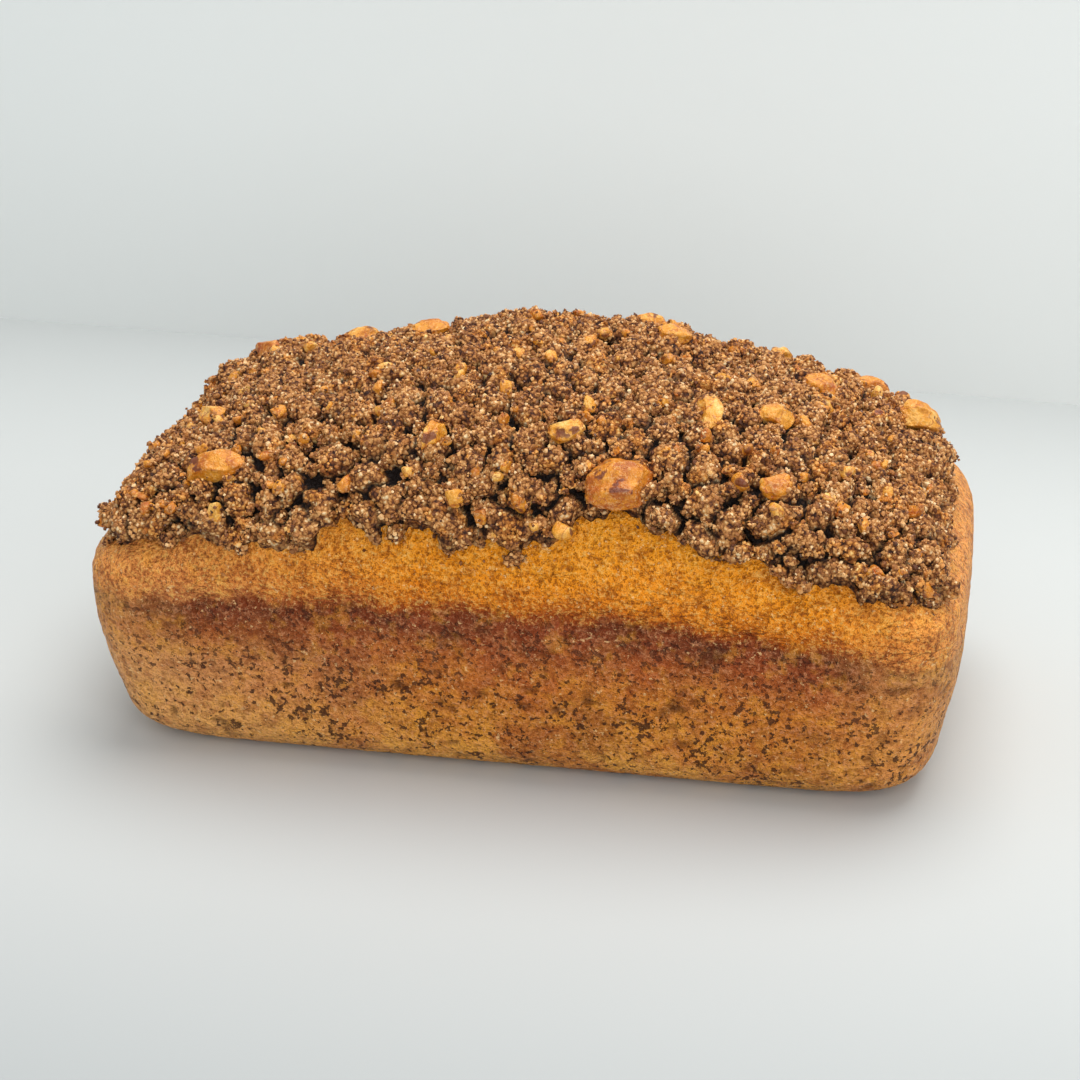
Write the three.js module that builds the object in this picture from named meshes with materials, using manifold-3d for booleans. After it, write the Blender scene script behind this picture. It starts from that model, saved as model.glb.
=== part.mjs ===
// A pound cake loaf with a domed top, covered by a crumbly sugar topping with pieces of chopped pecan.
// Millimetres, +Z up. The origin is the middle of the flat bottom, +X runs along the loaf and -Y is its front.
import * as THREE from "three";
import { mergeVertices } from "three/addons/utils/BufferGeometryUtils.js";
import Module from "manifold-3d";

// Size of the cake at its rim, where the top crust starts
const LENGTH = 215.6;
const WIDTH = 109.2;
const RIM_HEIGHT = 49;
const DOME_HEIGHT = 39.4;
// The sides bulge as they lean in by the draft down to the floor, where the edge is round
const END_DRAFT = 5.1;
const SIDE_DRAFT = 7.1;
const SIDE_BULGE = 1.6;
const BASE_ROUND = 11.5;
// The dome rises over this run in from an end, and over half the width from a side
const END_RUN = 36.4;
const SIDE_RUN = WIDTH / 2;
const CORNER_SOFTNESS = 0.186;
const ARCH_START = 3;
const ARCH_FULLNESS = 2.34;
// The shoulder is rounder at the -X end, where the arch loses this much of its fullness
const END_SLUMP = 0.76;
// The dome falls away from the middle towards both ends
const CROWN_FALL = 0.735;
const CROWN_POWER = 1.925;
// Slow unevenness of the crust, and a crease by the rim that droops towards both ends, most at +X
const CRUST_RELIEF = 0.45;
const CREASE_DEPTH = 0.8;
const CREASE_HALF_HEIGHT = 1.8;
const CREASE_BELOW_RIM = 0.5;
const CREASE_DROOP = 6.5;
// The topping's depth on the dome and at its ragged edge, and the share of the run over which it grows
const TOPPING_DEPTH = 8;
const TOPPING_EDGE_DEPTH = 2.8;
const TOPPING_RAMP = 0.16;
const EDGE_SHARE = 0.06;
const EDGE_SHARE_AT_ENDS = 0.03;
const EDGE_RIPPLE = 0.008;
// Clumps all over the topping: how far they stand up or dip down, and how far they stray sideways
const CLUMP_HEIGHT = 2.2;
const CLUMP_STRAY = 1.2;
const CLUMP_COLUMNS = 40;
const CLUMP_ROWS = 26;
// Crumbs that stand out of the topping, the largest placed first. Spacing is in sums of two radii.
const CRUMB_RADIUS_MAX = 5;
const CRUMB_RADIUS_MIN = 3;
const CRUMB_SPACING = 1.45;
const CRUMB_SUNK = 0.3;
const CRUMB_COUNT = 68;
const CRUMB_TRIES = 9000;
const SEED = 7;
// Clearance between neighbouring pieces
const GAP = 0.3;

const QUADRANT_STEPS = 16;
const SIDE_BANDS = 5;
// Shares of the run at which the dome has a ring, close together where bare crust shows
const DOME_SHARES = [0.008, 0.03, 0.07, 0.13, 0.22, 0.38, 0.62, 0.985];

// Bays and tongues of the topping's lower edge: place along the loaf, reach along it and share of the run.
// A bay, where bare crust shows higher up, is positive.
const FRONT_LOBES = [
  { at: -90, reach: 7, share: 0.055 },
  { at: -54, reach: 13, share: -0.048 },
  { at: -38, reach: 4, share: 0.035 },
  { at: -10, reach: 5, share: -0.03 },
  { at: 3, reach: 4, share: -0.035 },
  { at: 27, reach: 10, share: 0.07 },
  { at: 42, reach: 9, share: 0.035 },
  { at: 59, reach: 5, share: 0.045 },
  { at: 88, reach: 8, share: -0.012 },
];
const BACK_LOBES = [
  { at: -72, reach: 10, share: 0.04 },
  { at: -30, reach: 14, share: -0.03 },
  { at: 12, reach: 9, share: 0.045 },
  { at: 60, reach: 13, share: -0.025 },
];

// Places where the topping is heaped higher or lies thinner, by plan place, reach and rise
const SWELLS = [
  { x: -97, y: 0, reach: 14, rise: -4 },
  { x: -80, y: 30, reach: 16, rise: 3.7 },
  { x: -55, y: 28, reach: 14, rise: -1.6 },
  { x: -32, y: 20, reach: 14, rise: -2.1 },
  { x: -8, y: 15, reach: 14, rise: 0.9 },
  { x: 20, y: 12, reach: 14, rise: 1.4 },
  { x: 46, y: 12, reach: 14, rise: -0.7 },
  { x: 70, y: 15, reach: 13, rise: -1.2 },
  { x: 93, y: 16, reach: 11, rise: 3.4 },
];

// Pecan pieces: place, the sizes along, across and through, the turn in degrees and how far each stands out
const PECANS = [
  { x: 27.8, y: -46.5, size: [14, 12, 8], turn: 10, out: 2.2 },
  { x: -71.3, y: -43.5, size: [13, 6.5, 6], turn: 8, out: 1.8 },
  { x: 92, y: 17, size: [10, 8, 7], turn: 30, out: 1.5 },
  { x: 68, y: 17, size: [9, 7, 6], turn: -25, out: 1.2 },
  { x: 30, y: 19, size: [8, 6.5, 5.5], turn: 15, out: 1.6 },
  { x: 13.7, y: -38.5, size: [7.5, 6, 5], turn: 5, out: 1.4 },
  { x: 63, y: -41, size: [7, 6, 5], turn: 20, out: 1.4 },
  { x: 60, y: -15, size: [8, 6.5, 5], turn: 35, out: 1 },
  { x: 45, y: -22, size: [10.5, 5.5, 5], turn: 100, out: 1 },
  { x: -34, y: 22, size: [9, 6.5, 5.5], turn: 0, out: 1.6 },
  { x: -18, y: -41.5, size: [7, 5.5, 5], turn: 70, out: 1.2 },
  { x: -80, y: 27, size: [8.5, 6, 5.5], turn: -30, out: 1.4 },
  { x: -81, y: -16.5, size: [7.5, 5.5, 5], turn: -50, out: 1.2 },
  { x: -58, y: 41, size: [9, 6, 5.5], turn: 15, out: 1.4 },
  { x: -16, y: 44, size: [8, 6, 5], turn: -35, out: 1.4 },
  { x: 22, y: 39, size: [11, 7, 6], turn: 20, out: 1.6 },
  { x: 55, y: 43, size: [7.5, 6, 5], turn: 75, out: 1.4 },
  { x: 80, y: 37, size: [8, 5.5, 5], turn: -15, out: 1.4 },
];

const wasm = await Module();
wasm.setup();

const HALF_LENGTH = LENGTH / 2;
const HALF_WIDTH = WIDTH / 2;
const CORNER_ALONG = END_RUN * CORNER_SOFTNESS;
const CORNER_ACROSS = SIDE_RUN * CORNER_SOFTNESS;

const softplus = (v) => (v > 30 ? v : Math.log1p(Math.exp(v)));
const softplusInverse = (v) => (v > 30 ? v : Math.log(Math.expm1(v)));
const clamp01 = (v) => Math.min(1, Math.max(0, v));

// A point of a soft-cornered rectangle at a turn of 0 to 4 quadrants, anticlockwise from the front's middle.
// In one quadrant x = A - cx softplus(-d) and y = B - cy softplus(d), as d goes from the long side to the end.
function outlinePoint(halfLength, halfWidth, turn) {
  const quadrant = Math.floor(turn);
  const forwards = quadrant % 2 === 0;
  const share = forwards ? turn - quadrant : 1 - turn + quadrant;
  const first = -softplusInverse(halfLength / CORNER_ALONG);
  const last = softplusInverse(halfWidth / CORNER_ACROSS);
  const d = first + (last - first) * share;
  const x = halfLength - CORNER_ALONG * softplus(-d);
  const y = halfWidth - CORNER_ACROSS * softplus(d);
  return [quadrant < 2 ? x : -x, quadrant === 0 || quadrant === 3 ? -y : y];
}

// The share of the run inwards at a plan point, from 0 on the outline to about 1 on the ridge
function runShare(x, y) {
  const end = Math.exp(-(HALF_LENGTH - Math.abs(x)) / CORNER_ALONG);
  const side = Math.exp(-(HALF_WIDTH - Math.abs(y)) / CORNER_ACROSS);
  return clamp01(-CORNER_SOFTNESS * Math.log(end + side));
}

// Height of the bare cake's top at a plan point: an arch over the run, lower towards the ends
function domeHeight(x, y) {
  const fullness = ARCH_FULLNESS - END_SLUMP * clamp01((-x / HALF_LENGTH - 0.6) / 0.4);
  const arch = (1 - (1 - runShare(x, y)) ** ARCH_START) ** (1 / fullness);
  const crown = 1 - CROWN_FALL * Math.abs(x / HALF_LENGTH) ** CROWN_POWER;
  return RIM_HEIGHT + DOME_HEIGHT * arch * crown;
}

// How far a side leans in from the rim at a height
function sideInset(draft, z) {
  const roundInset = BASE_ROUND - Math.sqrt(BASE_ROUND ** 2 - Math.max(0, BASE_ROUND - z) ** 2);
  return draft * (1 - z / RIM_HEIGHT) ** SIDE_BULGE + roundInset;
}

// Height of the crease by the rim
function creaseHeight(x) {
  const droop = CREASE_DROOP * (clamp01((x - 45) / 60) + 0.3 * clamp01((-x - 40) / 50));
  return RIM_HEIGHT - CREASE_BELOW_RIM - droop;
}

// Slow unevenness of baked crust, from -1 to 1
function unevenness(x, y, z) {
  return (
    0.5 * Math.sin(x / 9.3 + 1.7 * Math.sin(z / 8.1)) * Math.cos(z / 6.7 + y / 17) +
    0.5 * Math.sin(x / 17.9 - z / 11.3 + 0.8) * Math.cos(y / 14.3 + 0.4)
  );
}

// Share of the run where the topping's lower edge lies, near a plan point of the outline
function toppingEdge(x, y) {
  const lobes = y < 0 ? FRONT_LOBES : BACK_LOBES;
  const bulge = ({ at, reach, share }) => share * Math.exp(-(((x - at) / reach) ** 2));
  const bays = lobes.reduce((sum, lobe) => sum + bulge(lobe), 0);
  const onLongSide = clamp01((Math.abs(y) - 25) / 15);
  const ends = EDGE_SHARE_AT_ENDS * (1 - onLongSide);
  return EDGE_SHARE + ends + bays * onLongSide + EDGE_RIPPLE * Math.sin(x / 3.1 + y / 4.7);
}

// Depth of the topping's core straight up from the dome
function toppingDepth(x, y) {
  const past = clamp01((runShare(x, y) - toppingEdge(x, y)) / TOPPING_RAMP);
  const grown = Math.sqrt(1 - (1 - past) ** 2);
  const swellRise = SWELLS.reduce((sum, swell) => {
    const away = Math.hypot(x - swell.x, y - swell.y) / swell.reach;
    return sum + swell.rise * Math.exp(-(away ** 2));
  }, 0);
  return TOPPING_EDGE_DEPTH + (TOPPING_DEPTH - TOPPING_EDGE_DEPTH) * grown + swellRise * past;
}

// Outward unit normal of the dome at a plan point
function domeNormal(x, y) {
  const step = 0.5;
  const slopeX = (domeHeight(x + step, y) - domeHeight(x - step, y)) / (2 * step);
  const slopeY = (domeHeight(x, y + step) - domeHeight(x, y - step)) / (2 * step);
  return new THREE.Vector3(-slopeX, -slopeY, 1).normalize();
}

function indexedGeometry(positions, index) {
  const geometry = new THREE.BufferGeometry();
  geometry.setAttribute("position", new THREE.Float32BufferAttribute(positions, 3));
  geometry.setIndex(index);
  return geometry;
}

// A closed surface over a stack of rings from bottom to top, closed at both ends by a strip from front to back
function closedStack(rings) {
  const count = rings[0].length;
  const index = [];
  for (let r = 0; r + 1 < rings.length; r++) {
    for (let i = 0; i < count; i++) {
      const a = r * count + i;
      const b = r * count + ((i + 1) % count);
      index.push(a, b, b + count, a, b + count, a + count);
    }
  }
  const strip = (base, flip) => {
    const right = count / 4;
    for (let k = 0; k < count / 2; k++) {
      const [front, nextFront] = [right - k, right - k - 1].map((i) => base + ((i + count) % count));
      const [back, nextBack] = [right + k, right + k + 1].map((i) => base + (i % count));
      const faces = [];
      if (k > 0) faces.push([front, back, nextFront]);
      if (k + 1 < count / 2) faces.push([nextFront, back, nextBack]);
      faces.forEach(([a, b, c]) => index.push(...(flip ? [a, b, c] : [a, c, b])));
    }
  };
  strip(0, false);
  strip((rings.length - 1) * count, true);
  return indexedGeometry(rings.flat(2), index);
}

const range = (n) => [...Array(n).keys()];
const TURNS = range(4 * QUADRANT_STEPS).map((i) => i / QUADRANT_STEPS);

// Cake side: rings of the drafted, round-bottomed section up to the rim
function sideRings() {
  const filletAngles = [0, 22, 45, 68, 90].map(THREE.MathUtils.degToRad);
  const bandHeight = (RIM_HEIGHT - BASE_ROUND) / SIDE_BANDS;
  const heights = [
    ...filletAngles.map((a) => BASE_ROUND * (1 - Math.cos(a))),
    ...range(SIDE_BANDS).map((i) => BASE_ROUND + bandHeight * (i + 1)),
  ];
  return heights.map((z) => {
    const halfLength = HALF_LENGTH - sideInset(END_DRAFT, z);
    const halfWidth = HALF_WIDTH - sideInset(SIDE_DRAFT, z);
    return TURNS.map((turn) => {
      const [x, y] = outlinePoint(halfLength, halfWidth, turn);
      const fading = 1 - clamp01((Math.abs(x) - 75) / 25);
      const crease = CREASE_DEPTH * fading * Math.exp(-(((z - creaseHeight(x)) / CREASE_HALF_HEIGHT) ** 2));
      const out = z > 0 ? CRUST_RELIEF * unevenness(x, y, z) - crease : 0;
      return [x * (1 + out / HALF_LENGTH), y * (1 + out / HALF_WIDTH), z];
    });
  });
}

// A ring of the dome at a share of the run
function domeRing(share) {
  return TURNS.map((turn) => {
    const [x, y] = outlinePoint(HALF_LENGTH - END_RUN * share, HALF_WIDTH - SIDE_RUN * share, turn);
    return [x, y, domeHeight(x, y) + CRUST_RELIEF * unevenness(x, y, RIM_HEIGHT) * clamp01(share * 8)];
  });
}

function makeLoaf() {
  return closedStack([...sideRings(), ...DOME_SHARES.map(domeRing)]);
}

// How far out from the middle, as a share of the way to a plan point, the topping's lower edge lies
function edgeReach(x, y) {
  let inside = 0.5;
  let outside = 1;
  for (let n = 0; n < 20; n++) {
    const middle = (inside + outside) / 2;
    const [px, py] = [x * middle, y * middle];
    if (runShare(px, py) > toppingEdge(px, py)) inside = middle;
    else outside = middle;
  }
  return inside;
}

// Plan point of the clump grid at u along and v across, each from -1 to 1. Rows crowd where the dome is steep,
// and the grid's rim is drawn in to the topping's edge.
function clumpPlace(u, v) {
  const crowd = (w, amount) => THREE.MathUtils.lerp(w, Math.sin((w * Math.PI) / 2), amount);
  const ring = Math.max(Math.abs(u), Math.abs(v), 1e-6);
  const place = (p, q) => [HALF_LENGTH * crowd(p, 0.2), HALF_WIDTH * crowd(q, 0.5)];
  const reach = THREE.MathUtils.lerp(1, edgeReach(...place(u / ring, v / ring)), ring ** 1.5);
  return place(u, v).map((w) => w * reach);
}

// Topping's core: a grid of clumps, high and low by turns, closed below inside the cake, where it is cut away
function makeToppingCore(random) {
  const around = (amount) => amount * (2 * random() - 1);
  const across = CLUMP_COLUMNS + 1;
  const top = range(across * (CLUMP_ROWS + 1)).map((n) => {
    const i = n % across;
    const j = (n - i) / across;
    const onRim = i === 0 || j === 0 || i === CLUMP_COLUMNS || j === CLUMP_ROWS;
    const [gridX, gridY] = clumpPlace((2 * i) / CLUMP_COLUMNS - 1, (2 * j) / CLUMP_ROWS - 1);
    const freedom = onRim ? 0.4 : 1;
    const onSlope = 1 - 0.5 * Math.abs(gridY / HALF_WIDTH);
    const x = gridX + around(CLUMP_STRAY * freedom);
    const y = gridY + around(CLUMP_STRAY * freedom * onSlope);
    const bump = CLUMP_HEIGHT * freedom * ((i + j) % 2 === 0 ? -random() : random());
    return [x, y, domeHeight(x, y) + toppingDepth(x, y) + bump];
  });
  const index = [];
  for (let j = 0; j < CLUMP_ROWS; j++) {
    for (let i = 0; i < CLUMP_COLUMNS; i++) {
      const a = j * across + i;
      const [b, c, d] = [a + 1, a + 1 + across, a + across];
      index.push(...((i + j) % 2 === 0 ? [a, b, c, a, c, d] : [a, b, d, b, c, d]));
    }
  }
  const rim = [
    ...range(CLUMP_COLUMNS),
    ...range(CLUMP_ROWS).map((j) => j * across + CLUMP_COLUMNS),
    ...range(CLUMP_COLUMNS).map((i) => CLUMP_ROWS * across + CLUMP_COLUMNS - i),
    ...range(CLUMP_ROWS).map((j) => (CLUMP_ROWS - j) * across),
  ];
  const lower = rim.map((n) => {
    const [x, y] = [0.96 * top[n][0], 0.94 * top[n][1]];
    return [x, y, domeHeight(x, y) - 4];
  });
  const centre = [0, 0, RIM_HEIGHT];
  const centreIndex = top.length + lower.length;
  rim.forEach((a, k) => {
    const next = (k + 1) % rim.length;
    const b = rim[next];
    index.push(top.length + k, top.length + next, b, top.length + k, b, a);
    index.push(centreIndex, top.length + next, top.length + k);
  });
  return indexedGeometry([...top, ...lower, centre].flat(), index);
}

// Repeatable random numbers from 0 to 1
function seededRandom(seed) {
  let state = seed;
  return () => {
    state = (state + 0x6d2b79f5) | 0;
    let t = Math.imul(state ^ (state >>> 15), 1 | state);
    t = (t + Math.imul(t ^ (t >>> 7), 61 | t)) ^ t;
    return ((t ^ (t >>> 14)) >>> 0) / 4294967296;
  };
}

// Merges a geometry's vertices by position alone
function shared(geometry) {
  const bare = geometry.clone();
  bare.deleteAttribute("normal");
  bare.deleteAttribute("uv");
  return mergeVertices(bare, 1e-4);
}

// One crumb: a few-sided lump with every corner pushed in or out
function makeCrumb(radius, random) {
  const crumb = shared(new THREE.IcosahedronGeometry(1, 0));
  const corners = crumb.attributes.position;
  for (let i = 0; i < corners.count; i++) {
    const reach = radius * (0.82 + 0.36 * random());
    corners.setXYZ(i, corners.getX(i) * reach, corners.getY(i) * reach, corners.getZ(i) * reach * 0.85);
  }
  const turn = new THREE.Euler(random() * 6.28, random() * 6.28, random() * 6.28);
  return crumb.applyMatrix4(new THREE.Matrix4().makeRotationFromEuler(turn));
}

// One pecan piece: a rounded lump with two ridges and a groove along it, chopped flat at one end
function makePecan({ size }, chop) {
  const lump = shared(new THREE.IcosahedronGeometry(1, 1));
  const points = lump.attributes.position;
  const p = new THREE.Vector3();
  for (let i = 0; i < points.count; i++) {
    p.fromBufferAttribute(points, i);
    const groove = p.z > 0 ? 0.22 * Math.exp(-((p.y / 0.3) ** 2)) : 0;
    const squared = p.toArray().map((v) => Math.sign(v) * Math.abs(v) ** 0.85);
    const x = Math.min(squared[0], chop);
    points.setXYZ(i, (x * size[0]) / 2, (squared[1] * size[1]) / 2, ((squared[2] - groove) * size[2]) / 2);
  }
  return lump;
}

// Places a pecan piece on the topping, lying along the slope and turned about the slope's normal
function placePecan(pecan, n) {
  const normal = domeNormal(pecan.x, pecan.y);
  const depth = toppingDepth(pecan.x, pecan.y);
  const tilt = new THREE.Quaternion().setFromUnitVectors(new THREE.Vector3(0, 0, 1), normal);
  const turn = new THREE.Quaternion().setFromAxisAngle(
    new THREE.Vector3(0, 0, 1), THREE.MathUtils.degToRad(pecan.turn));
  const mesh = new THREE.Mesh(makePecan(pecan, 0.55 + 0.12 * (n % 3)), pecanMaterial);
  mesh.name = `pecan_${String(n + 1).padStart(2, "0")}`;
  mesh.userData.reach = pecan.size[0] / 2;
  mesh.quaternion.copy(tilt.multiply(turn));
  mesh.position.set(pecan.x, pecan.y, domeHeight(pecan.x, pecan.y) + depth).addScaledVector(normal, pecan.out);
  return mesh;
}

// Moves every corner outwards along its normal
function inflated(geometry, distance) {
  const grown = geometry.clone();
  grown.computeVertexNormals();
  const { position, normal } = grown.attributes;
  for (let i = 0; i < position.count; i++) {
    position.setXYZ(
      i,
      position.getX(i) + normal.getX(i) * distance,
      position.getY(i) + normal.getY(i) * distance,
      position.getZ(i) + normal.getZ(i) * distance,
    );
  }
  grown.deleteAttribute("normal");
  return grown;
}

function toSolid(geometry) {
  const mesh = new wasm.Mesh({
    numProp: 3,
    vertProperties: new Float32Array(geometry.attributes.position.array),
    triVerts: new Uint32Array(geometry.index.array),
  });
  return new wasm.Manifold(mesh);
}

function toGeometry(solid) {
  const { vertProperties, triVerts } = solid.getMesh();
  return indexedGeometry([...vertProperties], [...triVerts]);
}

// Crumbs spread over the topping, each new one clear of those before it and of the pecan pieces
function spreadCrumbs(pecanMeshes, random) {
  const placed = [];
  for (let n = 0; n < CRUMB_TRIES && placed.length < CRUMB_COUNT; n++) {
    const x = (random() - 0.5) * LENGTH;
    const y = (random() - 0.5) * WIDTH;
    const radius = THREE.MathUtils.lerp(CRUMB_RADIUS_MAX, CRUMB_RADIUS_MIN, placed.length / CRUMB_COUNT);
    const centre = new THREE.Vector3(x, y, domeHeight(x, y) + toppingDepth(x, y) - CRUMB_SUNK * radius);
    const onTopping = runShare(x, y) > toppingEdge(x, y);
    const free = placed.every((p) => p.centre.distanceTo(centre) > CRUMB_SPACING * (radius + p.radius));
    const clear = pecanMeshes.every((mesh) => mesh.position.distanceTo(centre) > radius + mesh.userData.reach);
    if (onTopping && free && clear) placed.push({ centre, radius });
  }
  return placed.map(({ centre, radius }) => makeCrumb(radius, random).translate(centre.x, centre.y, centre.z));
}

const cakeMaterial = new THREE.MeshStandardMaterial({ color: 0xb06a24, roughness: 0.8, metalness: 0 });
const toppingMaterial = new THREE.MeshStandardMaterial({ color: 0x8a5c3a, roughness: 0.85, metalness: 0 });
const pecanMaterial = new THREE.MeshStandardMaterial({ color: 0xc9873a, roughness: 0.6, metalness: 0 });

const random = seededRandom(SEED);
const loafGeometry = makeLoaf();
const pecanMeshes = PECANS.map(placePecan);

// The topping: core and crumbs in one, cut clear of the cake below and of every pecan piece
const crumbs = spreadCrumbs(pecanMeshes, random);
const heap = wasm.Manifold.union([makeToppingCore(random), ...crumbs].map(toSolid));
const sockets = pecanMeshes.map((mesh) => {
  mesh.updateMatrix();
  return toSolid(inflated(mesh.geometry, GAP).applyMatrix4(mesh.matrix));
});
const cleared = heap.subtract(wasm.Manifold.union([toSolid(inflated(loafGeometry, GAP)), ...sockets]));
const largest = cleared.decompose().reduce((a, b) => (a.volume() > b.volume() ? a : b));

const loaf = new THREE.Mesh(loafGeometry, cakeMaterial);
loaf.name = "loaf";
const topping = new THREE.Mesh(toGeometry(largest), toppingMaterial);
topping.name = "crumb_topping";

const cake = new THREE.Group();
cake.add(loaf, topping, ...pecanMeshes);

export default cake;
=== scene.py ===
"""Dresses a domed pound cake loaf with baked crust, a craggy crumb topping and chopped pecans.

Sizes are millimetres in the part's own frame and become metres where a mesh is made. +X runs along
the loaf, -Y is its front and the origin is the middle of its flat bottom.
"""

import bpy
import numpy as np
from mathutils import Matrix, Vector


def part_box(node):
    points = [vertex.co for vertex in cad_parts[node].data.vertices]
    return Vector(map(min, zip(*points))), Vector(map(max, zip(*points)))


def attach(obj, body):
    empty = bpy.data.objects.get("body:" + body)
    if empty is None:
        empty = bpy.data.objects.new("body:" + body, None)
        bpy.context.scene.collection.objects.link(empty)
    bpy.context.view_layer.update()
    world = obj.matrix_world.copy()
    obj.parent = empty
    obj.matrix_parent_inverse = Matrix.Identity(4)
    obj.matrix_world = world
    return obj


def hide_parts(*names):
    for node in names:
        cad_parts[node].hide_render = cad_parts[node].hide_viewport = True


MM = 0.001
SEED = 11

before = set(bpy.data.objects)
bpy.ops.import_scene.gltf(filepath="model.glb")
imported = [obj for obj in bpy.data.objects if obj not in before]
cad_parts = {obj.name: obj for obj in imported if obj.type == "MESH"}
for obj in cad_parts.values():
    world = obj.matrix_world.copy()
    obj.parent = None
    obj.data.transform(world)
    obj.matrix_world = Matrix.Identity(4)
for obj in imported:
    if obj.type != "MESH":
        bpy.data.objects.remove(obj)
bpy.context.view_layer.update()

# Cake: the same form as the solid, at its widest at the rim, where the top crust starts
loaf_low, loaf_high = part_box("loaf")
HALF_LENGTH = (loaf_high.x - loaf_low.x) / 2 / MM
HALF_WIDTH = (loaf_high.y - loaf_low.y) / 2 / MM
DOME_HEIGHT = 39.4
RIM_HEIGHT = loaf_high.z / MM - DOME_HEIGHT
END_DRAFT = 5.1
SIDE_DRAFT = 7.1
SIDE_BULGE = 1.6
BASE_ROUND = 11.5
END_RUN = 36.4
SIDE_RUN = HALF_WIDTH
CORNER_SOFTNESS = 0.186
ARCH_START = 3.0
ARCH_FULLNESS = 2.34
END_SLUMP = 0.76
CROWN_FALL = 0.735
CROWN_POWER = 1.925
CRUST_RELIEF = 0.45
END_SWELL = 1.5
CREASE_DEPTH = 0.8
CREASE_HALF_HEIGHT = 1.6
CREASE_BELOW_RIM = 0.5
CREASE_DROOP = 6.5
CORNER_ALONG = END_RUN * CORNER_SOFTNESS
CORNER_ACROSS = SIDE_RUN * CORNER_SOFTNESS

# Topping: depth of its valleys and of its edge on the dome, and the share of the run over which it grows
VALLEY_DEPTH = 6.2
EDGE_DEPTH = 0.6
SOLID_DEPTH = 8.0
SOLID_EDGE_DEPTH = 2.8
DEPTH_RAMP = 0.16
EDGE_SHARE = 0.06
EDGE_SHARE_AT_ENDS = 0.11
EDGE_RIPPLE = 0.008
EDGE_RAGGED = 0.014
CLUMP_RADIUS_MAX = 4.8
CLUMP_RADIUS_MIN = 1.5

# Bays and tongues of the topping's lower edge: place along the loaf, reach and share of the run
FRONT_LOBES = np.array([
    (-90, 7, 0.055), (-54, 13, -0.048), (-38, 4, 0.035), (-10, 5, -0.03), (3, 4, -0.035), (27, 10, 0.07),
    (42, 9, 0.035), (59, 5, 0.045), (88, 8, -0.012),
])
BACK_LOBES = np.array([
    (-98, 12, 0.07), (-72, 10, 0.04), (-30, 14, -0.03), (12, 9, 0.045), (60, 13, -0.025), (98, 14, 0.14),
])
# Places where the topping is heaped higher or lies thinner: x, y, reach and rise
SWELLS = np.array([
    (-99, 4, 15, -5), (-80, 30, 16, 2.6), (-55, 28, 14, -2.4), (-32, 20, 14, -2.1), (-8, 15, 14, 0.9),
    (20, 12, 14, 1.4), (46, 12, 14, -0.7), (70, 15, 13, -1.2), (91, 14, 11, 3.0), (106, 32, 15, -5),
])

# Pecan pieces of the part: x, y, sizes along, across and through, turn in degrees, how far each stands out
PECANS = [
    (27.8, -46.5, (14, 12, 8), 10, 2.2),
    (-71.3, -43.5, (13, 6.5, 6), 8, 1.8),
    (92, 17, (11, 8, 6.5), 30, 2.6),
    (68, 17, (9, 7, 6), -25, 1.2),
    (30, 19, (8, 6.5, 5.5), 15, 1.6),
    (13.7, -38.5, (7.5, 6, 5), 5, 1.4),
    (63, -41, (7, 6, 5), 20, 1.4),
    (60, -15, (8, 6.5, 5), 35, 1),
    (45, -22, (10.5, 5.5, 5), 100, 1),
    (-34, 22, (9, 6.5, 5.5), 0, 1.6),
    (-18, -41.5, (7, 5.5, 5), 70, 1.2),
    (-80, 27, (8.5, 6, 5.5), -30, 1.4),
    (-81, -16.5, (7.5, 5.5, 5), -50, 1.2),
    (-58, 41, (9, 6, 5.5), 15, 1.4),
    (-16, 44, (8, 6, 5), -35, 1.4),
    (22, 39, (11, 7, 6), 20, 1.6),
    (55, 43, (7.5, 6, 5), 75, 1.4),
    (80, 37, (8, 5.5, 5), -15, 1.4),
]

# Smaller nut bits that show one by one on the front: x, y and longest size
NUT_SPOTS = np.array([
    (-59.7, -28, 4.6), (-58.4, -42.2, 5), (-35.2, -25.2, 5), (-3, -26.4, 4.6), (0.9, -45.8, 4.3),
    (14.5, -50.2, 6.4), (8.4, -51, 3.8), (-4.8, -50.5, 6.4), (-69, -50, 6.2), (-37.3, -47.3, 5.6),
    (77.6, -27.8, 6), (69.7, 4, 5.6), (66.6, -12.7, 5), (39.5, -37.6, 3.8), (54.7, -32.8, 4.6),
    (54.9, -41.7, 5.2), (78.3, -41, 5), (-76, 22, 6), (-84, 15, 5.4), (-66, 20, 5),
    (-10.7, -49.5, 6.2), (4.5, -49.5, 6), (11.5, 2.2, 5), (16.1, -6.4, 3.5), (-8.9, -8.2, 4),
    (96.6, -48.5, 6),
])


# Shapes

def softplus(v):
    """log(1 + exp(v))."""
    return np.logaddexp(0, v)


def softplus_inverse(v):
    """The number whose softplus is v."""
    return v + np.log(-np.expm1(-v))


def outline(half_length, half_width, turn):
    """Soft-cornered rectangle, turn 0 to 4 quadrants anticlockwise from the middle of the front. In one
    quadrant x = A - cx softplus(-d) and y = B - cy softplus(d), as d goes from the long side to the end."""
    quadrant = np.floor(turn).astype(int) % 4
    part = turn - np.floor(turn)
    share = np.where(quadrant % 2 == 0, part, 1 - part)
    first = -softplus_inverse(half_length / CORNER_ALONG)
    last = softplus_inverse(half_width / CORNER_ACROSS)
    d = first + (last - first) * share
    x = half_length - CORNER_ALONG * softplus(-d)
    y = half_width - CORNER_ACROSS * softplus(d)
    return np.where(quadrant < 2, x, -x), np.where((quadrant == 0) | (quadrant == 3), -y, y)


def run_share(x, y):
    """Share of the run inwards, 0 on the outline, about 1 on the ridge: soft minimum of end and side."""
    end = np.exp(-(HALF_LENGTH - np.abs(x)) / CORNER_ALONG)
    side = np.exp(-(HALF_WIDTH - np.abs(y)) / CORNER_ACROSS)
    return np.clip(-CORNER_SOFTNESS * np.log(end + side), 0, 1)


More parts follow.
